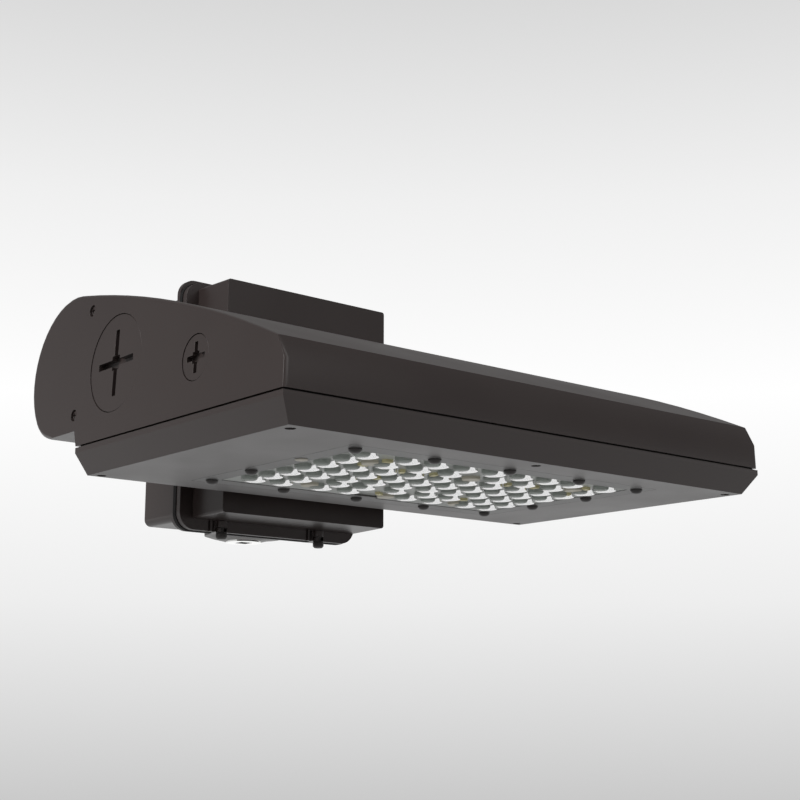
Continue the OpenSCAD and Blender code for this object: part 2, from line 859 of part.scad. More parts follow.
// Solid head above the door, set in by inset and starting at base_w, with the step under its bulge
module head_solid(inset, base_w, edge_r) {
    under_w = floor_w + inset;
    front_v = door_depth - inset;
    back_v = bulge_v + 2 * bulge_r;
    difference() {
        hull()
            loft(head_rings(inset, base_w, edge_r));
        rotate([90, 0, 90])
            linear_extrude(height = head_w + 2 * over, center = true)
                polygon([
                    [step_v - inset, under_w], [front_v, base_w], [front_v, base_w - over],
                    [back_v, base_w - over], [back_v, under_w]
                ]);
    }
}

// Moves children from the head's own frame to the part's frame
module in_head() {
    translate([neck_aside, head_front_y, -head_drop])
        children();
}

// Prism between the two leaning side faces, set in by inset
module side_prism(inset) {
    low = side_x(0) - inset;
    top = bulge_w + 2 * bulge_r;
    high = side_x(top) - inset;
    translate([0, bulge_v + 2 * bulge_r, 0])
        rotate([90, 0, 0])
            linear_extrude(height = bulge_v + 4 * bulge_r)
                polygon([[-low, 0], [low, 0], [high, top], [-high, top]]);
}

// Round bar along X through both sides of the head, at [v, w]
module side_bar(at, d, inner_x) {
    for (side = [-1, 1])
        translate([side * (inner_x + head_w) / 2, at[0], at[1]])
            bar_x(d, head_w - inner_x);
}

// Recess in the head's rear that takes the stand-off box and the plates, grown by extra
module rear_pocket(extra) {
    half = neck_w / 2 + pocket_gap + extra;
    wide = plate_w / 2 + plate_pocket_gap + extra;
    wide_v = plate_front_y - head_front_y - plate_pocket_gap - extra;
    translate([-half, pocket_v - extra, -over])
        cube([2 * half, bulge_v, bulge_w + bulge_r + 2 * over]);
    translate([-wide - neck_aside, wide_v, -over])
        cube([2 * wide, bulge_v, bulge_w + bulge_r + 2 * over]);
}

// Columns in the housing that take the door screws, each with a rib to the nearest wall
module door_bosses() {
    for (at = door_screw_at)
        translate([at[0], at[1], 0]) {
            rib = at[1] < panel_v ? -at[1] : door_depth - at[1];
            cylinder(d = door_boss_d, h = part_w + door_boss_h);
            translate([-door_boss_d / 2, min(0, rib), 0])
                cube([door_boss_d, abs(rib), part_w + door_boss_h]);
        }
}

module upper_housing() color("#4b4543") {
    rim_top = part_w + rim_h;
    boss_x = head_w / 2 - head_wall;
    in_head()
        difference() {
            head_solid(0, part_w, side_edge_r);
            difference() {
                head_solid(head_wall, rim_top, 0);
                rear_pocket(head_wall);
                side_bar(big_port, big_port_d + 2 * port_boss_wall, boss_x - port_boss_len);
                side_bar(small_port, small_port_d + 2 * port_boss_wall, boss_x - port_boss_len);
                for (at = side_screw_at)
                    side_bar(at, side_boss_d, boss_x - side_boss_x);
                door_bosses();
                tray_corners()
                    cylinder(d = tray_boss_d, h = bulge_w + bulge_r);
            }
            difference() {
                translate([-head_w / 2 + rim_band, rim_band, part_w - over])
                    cube([head_w - 2 * rim_band, door_depth - 2 * rim_band, rim_h + 2 * over]);
                door_bosses();
            }
            rear_pocket(0);
            side_bar(big_port, big_port_d, boss_x - port_boss_len - over);
            side_bar(small_port, small_port_d, boss_x - port_boss_len - over);
            for (at = side_screw_at) {
                side_bar(at, small_screw_d, boss_x - side_boss_x - over);
                side_bar(at, side_recess_d, side_x(at[1]) - side_recess);
            }
            for (at = door_screw_at)
                translate([at[0], at[1], part_w - over])
                    cylinder(d = small_screw_d, h = thread_depth);
            tray_corners()
                translate([0, 0, -over])
                    cylinder(d = small_screw_d, h = thread_depth);
            translate([0, -head_front_y, head_drop + neck_up])
                head_bolt_holes(head_wall + 2 * over, neck_front_y - neck_gasket_t + over);
        }
}

// Corners where the gear tray hangs from the housing, at the bosses' lower ends
module tray_corners() {
    for (sx = [-1, 1], sv = [-1, 1])
        translate([sx * (tray_w / 2 - tray_boss_in), tray_v + sv * (tray_d / 2 - tray_boss_in),
                   tray_base_w + tray_t])
            children();
}

// A flush threaded plug for each side, with a cross slot and a ring groove
module flush_plug(at, port_d, slot) {
    d = port_d - 2 * plug_gap;
    inner_x = head_w / 2 - head_wall - plug_len;
    in_head()
        difference() {
            intersection() {
                side_bar(at, d, inner_x);
                side_prism(gap);
            }
            for (side = [-1, 1]) {
                face_x = side_x(at[1]);
                translate([side * face_x, at[0], at[1]]) {
                    cube([2 * slot[2], slot[0], slot[1]], center = true);
                    cube([2 * slot[2], slot[1], slot[0]], center = true);
                    cube([2 * slot[2], slot_core_share * slot[1], slot_core_share * slot[1]], center = true);
                }
                translate([side * (face_x - ring_depth), at[0], at[1]])
                    difference() {
                        bar_x(d + 2 * over, ring_d + gap);
                        bar_x(port_d - 2 * ring_d - 2 * pin_clear, ring_d + 2 * over);
                    }
            }
        }
}

// Seal ring in the groove of a flush plug, one on each side
module plug_ring(at, port_d) {
    in_head()
        for (side = [-1, 1])
            translate([side * (side_x(at[1]) - ring_depth), at[0], at[1]])
                rotate([0, 90, 0])
                    rotate_extrude()
                        translate([port_d / 2 - ring_d / 2 - pin_clear, 0])
                            circle(d = ring_d, $fn = 16);
}

module big_plugs() color("#4b4543") flush_plug(big_port, big_port_d, big_slot);

module big_plug_rings() color("#1c1b1b") plug_ring(big_port, big_port_d);

module small_plugs() color("#4b4543") flush_plug(small_port, small_port_d, small_slot);

module small_plug_rings() color("#1c1b1b") plug_ring(small_port, small_port_d);

module side_screws() color("#2b2726") {
    in_head()
        for (side = [-1, 1], at = side_screw_at)
            translate([side * (side_x(at[1]) - side_recess), at[0], at[1]])
                rotate([0, side * 90, 0])
                    pan_screw(small_screw_d - gap, side_screw_len, side_recess_d - 2 * gap, small_head_h);
}

module cradle_bracket() color("#9a9c9c") {
    half = cradle_x;
    in_head()
        difference() {
            union() {
                translate([-half, cradle_v, cradle_low_w])
                    cube([2 * half, cradle_t, cradle_high_w - cradle_low_w]);
                for (x = [-half, half - cradle_t])
                    translate([x, cradle_v - cradle_flange, side_screw_at[1][1] - side_boss_d / 2])
                        cube([cradle_t, cradle_flange + cradle_t,
                              side_screw_at[0][1] - side_screw_at[1][1] + side_boss_d]);
            }
            side_bar(big_port, big_port_d + 2 * port_boss_wall + 2 * gap, half - cradle_t - over);
            for (at = side_screw_at)
                side_bar(at, small_screw_d, half - cradle_t - over);
            translate([0, -head_front_y, head_drop + neck_up])
                head_bolt_holes(cradle_t + 2 * over, head_front_y + cradle_v + cradle_t + over);
        }
}

// Rectangle in the head's frame between two insets from the door's edge, as a flat ring
module door_ring(outer_in, inner_in, h) {
    difference() {
        translate([-head_w / 2 + outer_in, outer_in, 0])
            cube([head_w - 2 * outer_in, door_depth - 2 * outer_in, h]);
        translate([-head_w / 2 + inner_in, inner_in, -over])
            cube([head_w - 2 * inner_in, door_depth - 2 * inner_in, h + 2 * over]);
    }
}

// Solid of the door: drawn in at the underside, upright above its lip
module door_body() {
    half = head_w / 2;
    low_half = half - door_draw_side;
    low_rear = door_depth - door_draw_rear;
    polyhedron(
        points = [
            [-low_half, door_draw_front, 0], [low_half, door_draw_front, 0],
            [low_half, low_rear, 0], [-low_half, low_rear, 0],
            [-half, 0, lip_w], [half, 0, lip_w], [half, door_depth, lip_w], [-half, door_depth, lip_w]
        ],
        faces = [[0, 1, 2, 3], [7, 6, 5, 4], [4, 5, 1, 0], [5, 6, 2, 1], [6, 7, 3, 2], [7, 4, 0, 3]]
    );
    translate([-half, 0, lip_w])
        cube([2 * half, door_depth, door_top_w - lip_w]);
}

// Rectangle of the light panel, grown by extra, from w0 up to w1
module panel_block(extra, w0, w1) {
    translate([-bezel_w / 2 - extra, panel_v - bezel_h / 2 - extra, w0])
        cube([bezel_w + 2 * extra, bezel_h + 2 * extra, w1 - w0]);
}

module door_frame() color("#6f6c6b") {
    in_head()
        difference() {
            door_body();
            difference() {
                translate([-head_w / 2 + rim_band, rim_band, door_floor])
                    cube([head_w - 2 * rim_band, door_depth - 2 * rim_band, door_top_w]);
                for (at = door_screw_at)
                    translate([at[0], at[1], 0])
                        cylinder(d = door_boss_d, h = door_top_w);
            }
            panel_block(bezel_gap, -over, door_floor + over);
            for (at = door_screw_at)
                translate([at[0], at[1], -over]) {
                    cylinder(d = door_hole_d, h = door_top_w + 2 * over);
                    cylinder(d = door_recess_d, h = door_recess + over);
                }
            heat_screw_places()
                translate([0, 0, door_floor / 2])
                    cylinder(d = lens_screw_d, h = door_floor);
        }
}

module door_gasket() color("#1c1b1b") {
    in_head()
        translate([0, 0, door_top_w])
            difference() {
                union() {
                    door_ring(door_gasket_inset, door_gasket_inset + door_gasket_band, part_gap);
                    for (at = door_screw_at)
                        if (at[1] > panel_v)
                            translate([at[0], at[1], 0])
                                intersection() {
                                    edge = door_depth - door_gasket_inset - at[1];
                                    cylinder(d = door_pad_d, h = part_gap);
                                    translate([-door_pad_d, -door_pad_d, 0])
                                        cube([2 * door_pad_d, door_pad_d + edge, part_gap]);
                                }
                }
                for (at = door_screw_at)
                    translate([at[0], at[1], -over])
                        cylinder(d = door_hole_d, h = part_gap + 2 * over);
            }
}

module door_screws() color("#2b2726") {
    in_head()
        for (at = door_screw_at)
            translate([at[0], at[1], door_recess])
                rotate([180, 0, 0])
                    pan_screw(small_screw_d - gap, part_w - door_recess + thread_depth - 2 * over,
                              door_recess_d - 2 * gap, small_head_h);
}

// Places of the screws that hold the heat plate down on the door's floor
module heat_screw_places() {
    x = bezel_w / 2 + heat_lap - heat_screw_inset;
    y = bezel_h / 2 + heat_lap - heat_screw_inset;
    for (sx = [-1, 1], v = [-y, 0, y])
        translate([sx * x, panel_v + v, 0])
            children();
    for (sv = [-1, 1])
        translate([0, panel_v + sv * y, 0])
            children();
}

// Places of the fourteen screws in the bezel, as x and v
lens_corner_x = bezel_w / 2 - lens_corner_in;
lens_row_v = bezel_h / 2 - lens_screw_in;
lens_corner_v = bezel_h / 2 - lens_corner_in;
lens_side_x = bezel_w / 2 - lens_side_in;
lens_screw_at = concat(
    [for (sx = [-1, 0, 1], sv = [-1, 1]) [sx * lens_screw_dx, panel_v + sv * lens_row_v]],
    [for (sx = [-1, 1], sv = [-1, 1]) [sx * lens_corner_x, panel_v + sv * lens_corner_v]],
    [for (sx = [-1, 1], sv = [-1, 1]) [sx * lens_side_x, panel_v + sv * lens_side_dy]]
);

module heat_plate() color("#b9bcbd") {
    pitch = (bezel_w - 2 * fin_side_margin) / (fin_n - 1);
    in_head()
        difference() {
            union() {
                panel_block(heat_lap, door_floor, door_floor + heat_plate_t);
                for (i = [0 : fin_n - 1])
                    translate([(i - (fin_n - 1) / 2) * pitch - fin_t / 2, panel_v - bezel_h / 2,
                               door_floor])
                        cube([fin_t, bezel_h, heat_plate_t + fin_h]);
            }
            panel_block(-bezel_border, door_floor - over, door_floor + board_recess);
            for (at = lens_screw_at)
                translate([at[0], at[1], door_floor - over])
                    cylinder(d = lens_screw_d, h = heat_plate_t - board_recess + over);
            heat_screw_places()
                translate([0, 0, door_floor - over])
                    cylinder(d = lens_screw_d + gap, h = heat_plate_t + 2 * over);
        }
}

module heat_plate_screws() color("#8d8f90") {
    in_head()
        heat_screw_places()
            translate([0, 0, door_floor + heat_plate_t])
                pan_screw(lens_screw_d - gap, heat_plate_t + door_floor / 2 - gap,
                          small_head_d, small_head_h);
}

module led_board() color("#e9e9e4") {
    top = door_floor + board_recess;
    in_head()
        panel_block(-bezel_border - gap, top - board_t, top);
}

module led_chips() color("#e8d36a") {
    top = door_floor + board_recess - board_t;
    in_head()
        for (at = led_at)
            translate([at[0] - chip_w / 2, at[1] - chip_w / 2, top - chip_h])
                cube([chip_w, chip_w, chip_h]);
}

module board_parts() color("#c9a14a") {
    top = door_floor + board_recess - board_t;
    in_head()
        for (share = board_part_shares)
            translate([share[0] * led_dx - part_len / 2, led_mid_v + share[1] * led_dy - part_wid / 2,
                       top - part_h])
                cube([part_len, part_wid, part_h]);
}

module lens_gasket() color("#1c1b1b") {
    in_head()
        difference() {
            panel_block(-gap, bezel_t + lens_t, door_floor);
            panel_block(-bezel_border, 0, door_floor + over);
            for (at = lens_screw_at)
                translate([at[0], at[1], 0])
                    cylinder(d = lens_screw_d + gap, h = door_floor + over);
        }
}

module lens_panel() color("#c8ccd0") {
    dome_r = (dome_d * dome_d / 4 + dome_h * dome_h) / (2 * dome_h);
    in_head()
        difference() {
            union() {
                panel_block(-gap, bezel_t, bezel_t + lens_t);
                intersection() {
                    for (at = led_at)
                        translate([at[0], at[1], bezel_t - dome_h + dome_r])
                            sphere(r = dome_r);
                    panel_block(-bezel_border, bezel_t - dome_h - over, bezel_t + lens_t / 2);
                }
            }
            for (at = led_at)
                translate([at[0], at[1], bezel_t + lens_t / 2])
                    cylinder(d = dome_well_d, h = lens_t);
            for (share = board_part_shares)
                translate([share[0] * led_dx, led_mid_v + share[1] * led_dy, bezel_t + lens_t / 2])
                    cylinder(d = dome_well_d, h = lens_t);
            for (at = lens_screw_at)
                translate([at[0], at[1], 0])
                    cylinder(d = lens_screw_d + gap, h = door_floor);
        }
}

module lens_bezel() color("#8b8b8b") {
    in_head()
        difference() {
            panel_block(0, 0, bezel_t);
            difference() {
                panel_block(-bezel_border, -over, bezel_t + over);
                translate([-bezel_bump_w / 2, panel_v + bezel_h / 2 - bezel_border - bezel_bump, -over])
                    cube([bezel_bump_w, bezel_border, bezel_t + 2 * over]);
            }
            for (at = lens_screw_at)
                translate([at[0], at[1], -over])
                    cylinder(d = lens_screw_d + gap, h = bezel_t + 2 * over);
        }
}

module lens_screws() color("#3a3a3a") {
    in_head()
        for (at = lens_screw_at)
            translate([at[0], at[1], 0])
                rotate([180, 0, 0])
                    pan_screw(lens_screw_d - gap, door_floor + heat_plate_t / 2, lens_head_d, lens_head_h);
}

module gear_tray() color("#9a9c9c") {
    in_head()
        difference() {
            union() {
                translate([-tray_w / 2, tray_v - tray_d / 2, tray_base_w])
                    cube([tray_w, tray_d, tray_t]);
                for (v = [tray_v - tray_d / 2, tray_v + tray_d / 2 - tray_t])
                    translate([-tray_w / 2 + 2 * tray_boss_in, v, tray_base_w])
                        cube([tray_w - 4 * tray_boss_in, tray_t, tray_lip]);
            }
            tray_corners()
                translate([0, 0, -tray_t - over])
                    cylinder(d = small_screw_d + gap, h = tray_t + 2 * over);
            driver_screw_places()
                translate([0, 0, -driver_tab_t - tray_t - over])
                    cylinder(d = small_screw_d, h = tray_t + 2 * over);
        }
}

module tray_screws() color("#8d8f90") {
    in_head()
        tray_corners()
            translate([0, 0, -tray_t])
                rotate([180, 0, 0])
                    pan_screw(small_screw_d - gap, tray_t + thread_depth - 2 * over,
                              small_head_d, small_head_h);
}

// Screw places of the driver, at the top of its end tabs
module driver_screw_places() {
    for (side = [-1, 1])
        translate([driver_x + side * (driver_l / 2 + driver_tab - driver_hole_in), tray_v,
                   tray_base_w + tray_t + driver_tab_t])
            children();
}

module led_driver() color("#d5d6d2") {
    base = tray_base_w + tray_t;
    in_head()
        difference() {
            union() {
                translate([driver_x - driver_l / 2, tray_v - driver_d / 2, base])
                    cube([driver_l, driver_d, driver_h]);
                translate([driver_x - driver_l / 2 - driver_tab, tray_v - driver_d / 4, base])
                    cube([driver_l + 2 * driver_tab, driver_d / 2, driver_tab_t]);
            }
            driver_screw_places()
                translate([0, 0, -driver_tab_t - over])
                    cylinder(d = small_screw_d + gap, h = driver_tab_t + 2 * over);
        }
}

module driver_screws() color("#8d8f90") {
    in_head()
        driver_screw_places()
            pan_screw(small_screw_d - gap, driver_tab_t + tray_t, small_head_d, small_head_h);
}

module surge_protector() color("#31507f") {
    in_head()
        translate([surge_x - surge_l / 2, tray_v - surge_d / 2, tray_base_w + tray_t])
            cube([surge_l, surge_d, surge_h]);
}

back_box();
entry_plug();
ground_screw();
hinge_plate();
box_screws();
hinge_pin();
plate_gasket();
front_plate();
plate_screws();
lock_screws();
mount_box();
supply_block();
block_screws();
neck_gasket();
wire_grommet();
cradle_bracket();
head_bolts();
head_nuts();
upper_housing();
side_screws();
big_plugs();
big_plug_rings();
small_plugs();
small_plug_rings();
door_frame();
door_gasket();
door_screws();
heat_plate();
heat_plate_screws();
led_board();
led_chips();
board_parts();
lens_gasket();
lens_panel();
lens_bezel();
lens_screws();
gear_tray();
tray_screws();
led_driver();
driver_screws();
surge_protector();
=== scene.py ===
import json
import math

import bmesh
import bpy
from mathutils import Matrix, Vector

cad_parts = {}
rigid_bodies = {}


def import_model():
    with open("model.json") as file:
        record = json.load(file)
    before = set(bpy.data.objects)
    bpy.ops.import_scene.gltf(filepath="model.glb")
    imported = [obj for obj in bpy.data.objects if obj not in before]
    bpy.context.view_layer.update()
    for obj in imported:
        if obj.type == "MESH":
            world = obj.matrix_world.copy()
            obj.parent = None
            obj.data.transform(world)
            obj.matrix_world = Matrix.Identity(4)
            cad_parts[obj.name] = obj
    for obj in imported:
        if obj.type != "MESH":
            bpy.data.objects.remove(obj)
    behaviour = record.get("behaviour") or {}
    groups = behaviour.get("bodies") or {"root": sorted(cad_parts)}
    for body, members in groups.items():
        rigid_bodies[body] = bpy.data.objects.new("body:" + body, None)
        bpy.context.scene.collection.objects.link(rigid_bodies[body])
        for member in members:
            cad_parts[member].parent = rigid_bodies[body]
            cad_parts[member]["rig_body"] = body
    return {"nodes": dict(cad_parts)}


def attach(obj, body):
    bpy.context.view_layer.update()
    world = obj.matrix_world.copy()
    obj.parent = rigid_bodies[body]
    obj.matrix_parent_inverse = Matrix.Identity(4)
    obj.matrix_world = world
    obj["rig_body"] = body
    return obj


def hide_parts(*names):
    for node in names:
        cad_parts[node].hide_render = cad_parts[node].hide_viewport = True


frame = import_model()
nodes = frame["nodes"]
bpy.context.scene.view_settings.view_transform = "Standard"
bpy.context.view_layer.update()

# The photograph's view: from the left, in front and below, looking up at the
# head's underside. Place, turn and lens come from a fit to the head's and the
# box's straight edges.
tilt_up, turn_right = 12.18, 40.059
camera_data = bpy.data.cameras.new("photo_camera")
camera_data.sensor_width = 36.0
camera_data.lens = 65.67
camera_data.clip_end = 60.0
camera = bpy.data.objects.new("photo_camera", camera_data)
bpy.context.scene.collection.objects.link(camera)
camera.location = (-0.6060, -0.9229, -0.2152)
camera.rotation_euler = (math.radians(90 + tilt_up), 0.0, math.radians(-turn_right))
bpy.context.scene.camera = camera

# Cast wall box: die-cast aluminium with a dark bronze polyester powder coat.
# The coat is satin, with a fine orange peel, and its edges are broken by the
# casting's small radii.
merge_distance = 0.00001
sharp_edge = math.radians(34)


def linear(code):
    """A colour written as sRGB hex, as linear red, green, blue and alpha."""
    channels = [int(code[i : i + 2], 16) / 255 for i in (0, 2, 4)]
    return [c / 12.92 if c <= 0.04045 else ((c + 0.055) / 1.055) ** 2.4 for c in channels] + [1.0]


def add(tree, kind, inputs, **settings):
    """A node with its settings, and its inputs set to values or linked to sockets."""
    node = tree.nodes.new(kind)
    for name, value in settings.items():
        setattr(node, name, value)
    for name, value in inputs.items():
        if isinstance(value, bpy.types.NodeSocket):
            tree.links.new(value, node.inputs[name])
        else:
            node.inputs[name].default_value = value
    return node


def empty_material(name):
    """A new material, and its node tree with nothing in it."""
    material = bpy.data.materials.new(name)
    material.use_nodes = True
    material.node_tree.nodes.clear()
    return material, material.node_tree


def grained(name, colour, worn, grain_mm, depth_mm, smooth, rough):
    """Sprayed coat, rubber or moulding: fine grain in the bump, and a slow drift in colour and gloss."""
    material, tree = empty_material(name)
    drift_mm = 70
    place = add(tree, "ShaderNodeTexCoord", {}).outputs["Object"]
    grain = add(tree, "ShaderNodeTexNoise", {"Vector": place, "Scale": 1000 / grain_mm, "Detail": 2.0})
    drift = add(tree, "ShaderNodeTexNoise", {"Vector": place, "Scale": 1000 / drift_mm, "Detail": 3.0})
    gloss = add(
        tree,
        "ShaderNodeMapRange",
        {"Value": drift.outputs["Fac"], "From Min": 0.3, "From Max": 0.7, "To Min": smooth, "To Max": rough},
    )
    tint = add(
        tree,
        "ShaderNodeMix",
        {"Factor": drift.outputs["Fac"], "A": linear(colour), "B": linear(worn)},
        data_type="RGBA",
    )
    bump = add(
        tree,
        "ShaderNodeBump",
        {"Height": grain.outputs["Fac"], "Strength": 0.35, "Distance": depth_mm / 1000},
    )
    shader = add(
        tree,
        "ShaderNodeBsdfPrincipled",
        {
            "Base Color": tint.outputs["Result"],
            "Roughness": gloss.outputs["Result"],
            "Normal": bump.outputs["Normal"],
            "IOR": 1.4,
        },
    )
    add(tree, "ShaderNodeOutputMaterial", {"Surface": shader.outputs["BSDF"]})
    return material


def merged(node, flat_degrees):
    """A bmesh copy of a CAD node, with its loose triangles joined into whole flat faces."""
    work = bmesh.new()
    work.from_mesh(nodes[node].data)
    bmesh.ops.remove_doubles(work, verts=work.verts, dist=merge_distance)
    flat = math.radians(flat_degrees)
    bmesh.ops.dissolve_limit(work, angle_limit=flat, verts=work.verts, edges=work.edges)
    return work


def mesh_from(work, name):
    """Turns a finished bmesh into a mesh, and frees it."""
    mesh = bpy.data.meshes.new(name)
    work.to_mesh(mesh)
    work.free()
    return mesh


def placed(name, mesh, material, node):
    """A new piece with a finished mesh, which moves with a CAD node's body."""
    mesh.materials.append(material)
    piece = bpy.data.objects.new(name, mesh)
    bpy.context.scene.collection.objects.link(piece)
    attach(piece, nodes[node]["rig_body"])
    return piece


def broken_edges(node, width_mm, material):
    """Merged copy of a CAD node that stands for it, with its sharp edges rounded off a little."""
    name = node + "_skin"
    mesh = mesh_from(merged(node, 0.6), name)
    mesh.shade_smooth()
    piece = placed(name, mesh, material, node)
    ease = piece.modifiers.new("broken_edges", "BEVEL")
    ease.width = width_mm / 1000
    ease.segments = 2
    ease.limit_method = "ANGLE"
    ease.angle_limit = sharp_edge
    ease.use_clamp_overlap = True
    piece.modifiers.new("flat_faces", "WEIGHTED_NORMAL").keep_sharp = True
    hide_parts(node)


bronze = grained(
    "satin_bronze_powder_coat", "362e2d", "3a3230", grain_mm=1.4, depth_mm=0.04, smooth=0.3, rough=0.36
)
broken_edges("back_box", 0.8, bronze)

# Conduit plug and earth screw: a bright die-cast zinc plug that closes the
# entry in the hub, and a green enamelled hexagon screw for the earth wire
# inside.


def bare_metal(name, colour, smooth, rough, mark_mm, stretch=1):
    """Plated, cast or rolled metal: gloss varies in faint marks, which may be drawn out along X."""
    material, tree = empty_material(name)
    place = add(tree, "ShaderNodeTexCoord", {}).outputs["Object"]
    drawn = add(tree, "ShaderNodeMapping", {"Vector": place, "Scale": (1.0, stretch, stretch)})
    marks = add(
        tree,
        "ShaderNodeTexNoise",
        {"Vector": drawn.outputs["Vector"], "Scale": 1000 / mark_mm, "Detail": 4.0},
    )
    gloss = add(
        tree,
        "ShaderNodeMapRange",
        {"Value": marks.outputs["Fac"], "From Min": 0.3, "From Max": 0.7, "To Min": smooth, "To Max": rough},
    )
    bump = add(tree, "ShaderNodeBump", {"Height": marks.outputs["Fac"], "Strength": 0.15, "Distance": 0.00005})
    shader = add(
        tree,
        "ShaderNodeBsdfPrincipled",
        {
            "Base Color": linear(colour),
            "Metallic": 1.0,
            "Roughness": gloss.outputs["Result"],
            "Normal": bump.outputs["Normal"],
        },
    )
    add(tree, "ShaderNodeOutputMaterial", {"Surface": shader.outputs["BSDF"]})
    return material


def dress(material, *names):
    """Gives CAD nodes that keep their own shape a finish."""
    for name in names:
        for place in nodes[name].material_slots:
            place.material = material


cast_zinc = bare_metal("cast_zinc", "fcfcfa", smooth=0.06, rough=0.12, mark_mm=6)
green_enamel = grained(
    "green_enamel", "2c7a3c", "2f8041", grain_mm=2.0, depth_mm=0.02, smooth=0.25, rough=0.32
)
dress(cast_zinc, "entry_plug")
dress(green_enamel, "ground_screw")

# Hinge plate: a cast plate screwed to the wall box, with the two outer hinge
# knuckles on its top edge and two forked tabs under it. Pin and screws are
# steel with a clear zinc plate, which looks a soft grey.
broken_edges("hinge_plate", 0.7, bronze)
zinc_plate = bare_metal("clear_zinc_plate", "b9bbbd", smooth=0.28, rough=0.42, mark_mm=3)
dress(zinc_plate, "box_screws", "hinge_pin")

# Front plate: the matching cast plate with the middle knuckle and the two lugs
# that hold the lock screws, sealed by a strip of black foamed rubber. The lock
# screws are black coated, with a plain washer between each head and its tab.
rubber = grained(
    "black_foamed_rubber", "0c0b0b", "100f0f", grain_mm=0.9, depth_mm=0.08, smooth=0.8, rough=0.9
)
broken_edges("front_plate", 0.8, bronze)
dress(rubber, "plate_gasket")
dress(zinc_plate, "plate_screws")
black_screw = grained(
    "black_coated_screw", "221e1d", "2a2524", grain_mm=1.0, depth_mm=0.02, smooth=0.35, rough=0.45
)
broken_edges("lock_screws", 0.4, black_screw)


def made(name, work, material, node):
    """A new piece from a finished bmesh, smooth between its sharp edges."""
    bmesh.ops.recalc_face_normals(work, faces=work.faces)
    mesh = mesh_from(work, name)
    mesh.shade_smooth()
    mesh.set_sharp_from_angle(angle=sharp_edge)
    return placed(name, mesh, material, node)


def turned(name, profile, steps):
    """The mesh of a shape turned about the Z axis: its profile runs in radius and height, in mm.

    A point given twice closes the profile. The spin leaves its faces in an order that changes from
    run to run, so they are put in one order.
    """
    work = bmesh.new()
    points = {(r, z): work.verts.new((r / 1000, 0.0, z / 1000)) for r, z in dict.fromkeys(profile)}
    line = [work.edges.new((points[a], points[b])) for a, b in zip(profile, profile[1:])]
    geom = [*points.values(), *line]
    bmesh.ops.spin(
        work, geom=geom, cent=(0, 0, 0), axis=(0, 0, 1), angle=math.tau, steps=steps, use_merge=True
    )
    bmesh.ops.remove_doubles(work, verts=work.verts, dist=merge_distance)
    work.verts.index_update()

    def rank(face):
        corners = [vertex.index for vertex in face.verts]
        return min(corners) * len(work.verts) + max(corners)

    work.faces.sort(key=rank)
    return mesh_from(work, name)


def repeated(mesh, places):
    """One bmesh with the mesh set down at each place, at its own height."""
    work = bmesh.new()
    for place in places:
        before = len(work.verts)
        work.from_mesh(mesh)
        work.verts.ensure_lookup_table()
        bmesh.ops.translate(work, verts=work.verts[before:], vec=(place[0], place[1], 0.0))
    return work


washer_outline = [(2.1, -89.9), (3.9, -89.9), (3.9, -89.35), (2.1, -89.35), (2.1, -89.9)]
lock_screw_places = [(-0.0426, -0.0573), (0.0426, -0.0573)]
washers = repeated(turned("washer", washer_outline, steps=28), lock_screw_places)
made("lock_washers", washers, black_screw, "lock_screws")

# Stand-off box: a deep cast box between the front plate and the head. Inside
# it an ivory moulded terminal block takes the supply wires.
broken_edges("mount_box", 0.9, bronze)
ivory = grained(
    "ivory_moulded_plastic", "e4e0d4", "e9e6dc", grain_mm=1.2, depth_mm=0.03, smooth=0.45, rough=0.55
)
dress(ivory, "supply_block")
dress(zinc_plate, "block_screws")

# Joint of box and head: four bolts through a rubber gasket, the housing and a
# galvanised sheet steel cradle, with a grommet for the wires. The sheet has
# the zinc's broad dull spangle.
galvanised = bare_metal("galvanised_sheet", "a9acac", smooth=0.35, rough=0.55, mark_mm=14)
dress(rubber, "neck_gasket", "wire_grommet")
dress(galvanised, "cradle_bracket")
dress(zinc_plate, "head_bolts", "head_nuts")

# Head: one thin-walled casting with a crowned top and a round rear bulge, in
# the same powder coat. Its side edges are rounded by about 3 mm.
broken_edges("upper_housing", 0.7, bronze)

# Side plugs: flush threaded plugs in the same coat, each with a cross slot
# and a seal ring, and two recessed coated screws on each side that hold the
# cradle.
broken_edges("big_plugs", 0.25, bronze)
broken_edges("small_plugs", 0.25, bronze)
dress(rubber, "big_plug_rings", "small_plug_rings")
dress(bronze, "side_screws")

# Door: a shallow cast frame under the head, drawn in towards the underside,
# in the same coat sprayed a little duller. A black gasket is set back in the
# gap over it, and five black screws hold it.
door_bronze = grained(
    "satin_bronze_door_coat", "362e2d", "3a3230", grain_mm=1.4, depth_mm=0.04, smooth=0.34, rough=0.4
)
broken_edges("door_frame", 0.7, door_bronze)
dress(rubber, "door_gasket")
dress(black_screw, "door_screws")

# Heat plate and light engine: an aluminium extrusion with fins, marked along
# its length, a circuit board in white solder mask, drawn grey with painted shade
# of the closed housing, yellow LEDs, and small tan ceramic parts between them.
extruded = bare_metal("extruded_aluminium", "c4c7c8", smooth=0.3, rough=0.45, mark_mm=5, stretch=6)
dress(extruded, "heat_plate")
dress(zinc_plate, "heat_plate_screws")
# The white mask is coloured grey: painted shade of the closed housing around it.
shaded_solder_mask = grained(
    "solder_mask_in_painted_shade", "a6a8a4", "adafab", grain_mm=2.0, depth_mm=0.01, smooth=0.35, rough=0.45
)
phosphor = grained(
    "led_phosphor", "e8d36a", "ecd977", grain_mm=1.0, depth_mm=0.01, smooth=0.3, rough=0.4
)
tan_ceramic = grained(
    "tan_ceramic", "ddd5a2", "e6deb0", grain_mm=1.0, depth_mm=0.02, smooth=0.4, rough=0.5
)
dress(shaded_solder_mask, "led_board")
dress(phosphor, "led_chips")
dress(tan_ceramic, "board_parts")
